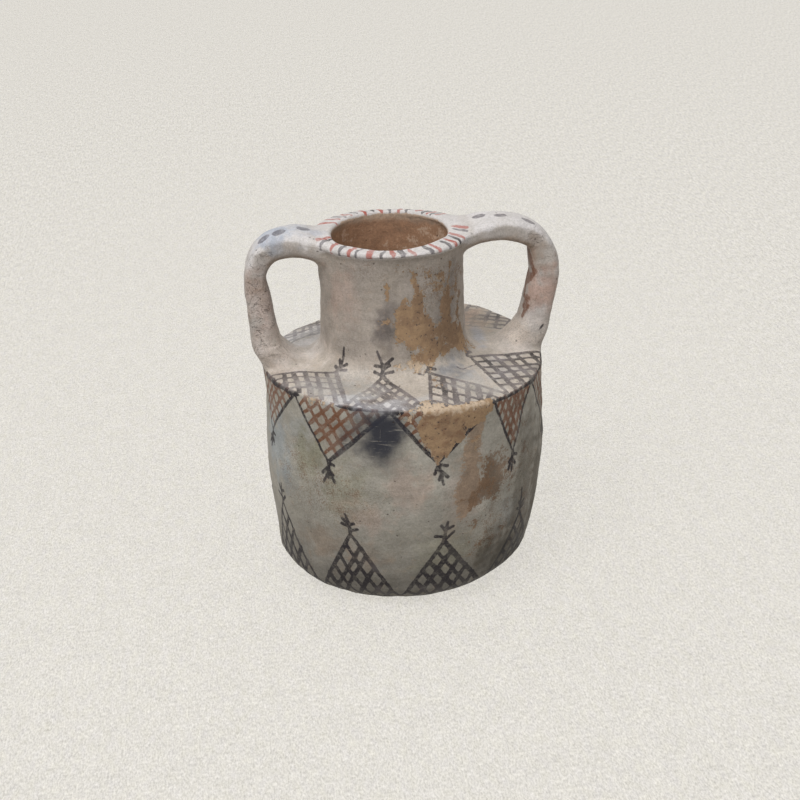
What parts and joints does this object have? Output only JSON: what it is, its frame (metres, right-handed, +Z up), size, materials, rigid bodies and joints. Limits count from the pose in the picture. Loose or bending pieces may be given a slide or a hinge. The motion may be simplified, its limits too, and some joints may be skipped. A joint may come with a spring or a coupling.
{
  "type": "two-handled clay jar",
  "caption": "Hand-built earthenware jar with a cylindrical body, flat shoulder, tall neck, everted lip and two strap handles, painted with hatched triangles.",
  "frame": {"origin": "centre of the flat foot", "axes": "+Z up through the mouth, the two handles along -X and +X, the pictured front towards -Y"},
  "size_m": [0.2109, 0.1924, 0.2463],
  "materials": {
    "dark_clay": "matt earthenware, sooty and unslipped",
    "wall_slip": "matt earthenware with a worn grey-buff slip, black and red-brown painted hatching",
    "shoulder_slip": "matt earthenware with a pale slip and grey-black painted hatching",
    "neck_slip": "matt earthenware with a pinkish-beige slip, flaked to orange clay at the front",
    "white_slip": "matt earthenware with a white slip and red and grey painted dashes",
    "handle_slip": "matt earthenware with a white to pinkish slip and dark painted dots"
  },
  "bodies": {
    "root": {"floor_slab": "dark_clay", "body_wall": "wall_slip", "shoulder_ring": "shoulder_slip", "neck": "neck_slip", "lip_ring": "white_slip", "handle_left": "handle_slip", "handle_right": "handle_slip"}
  },
  "joints": []
}
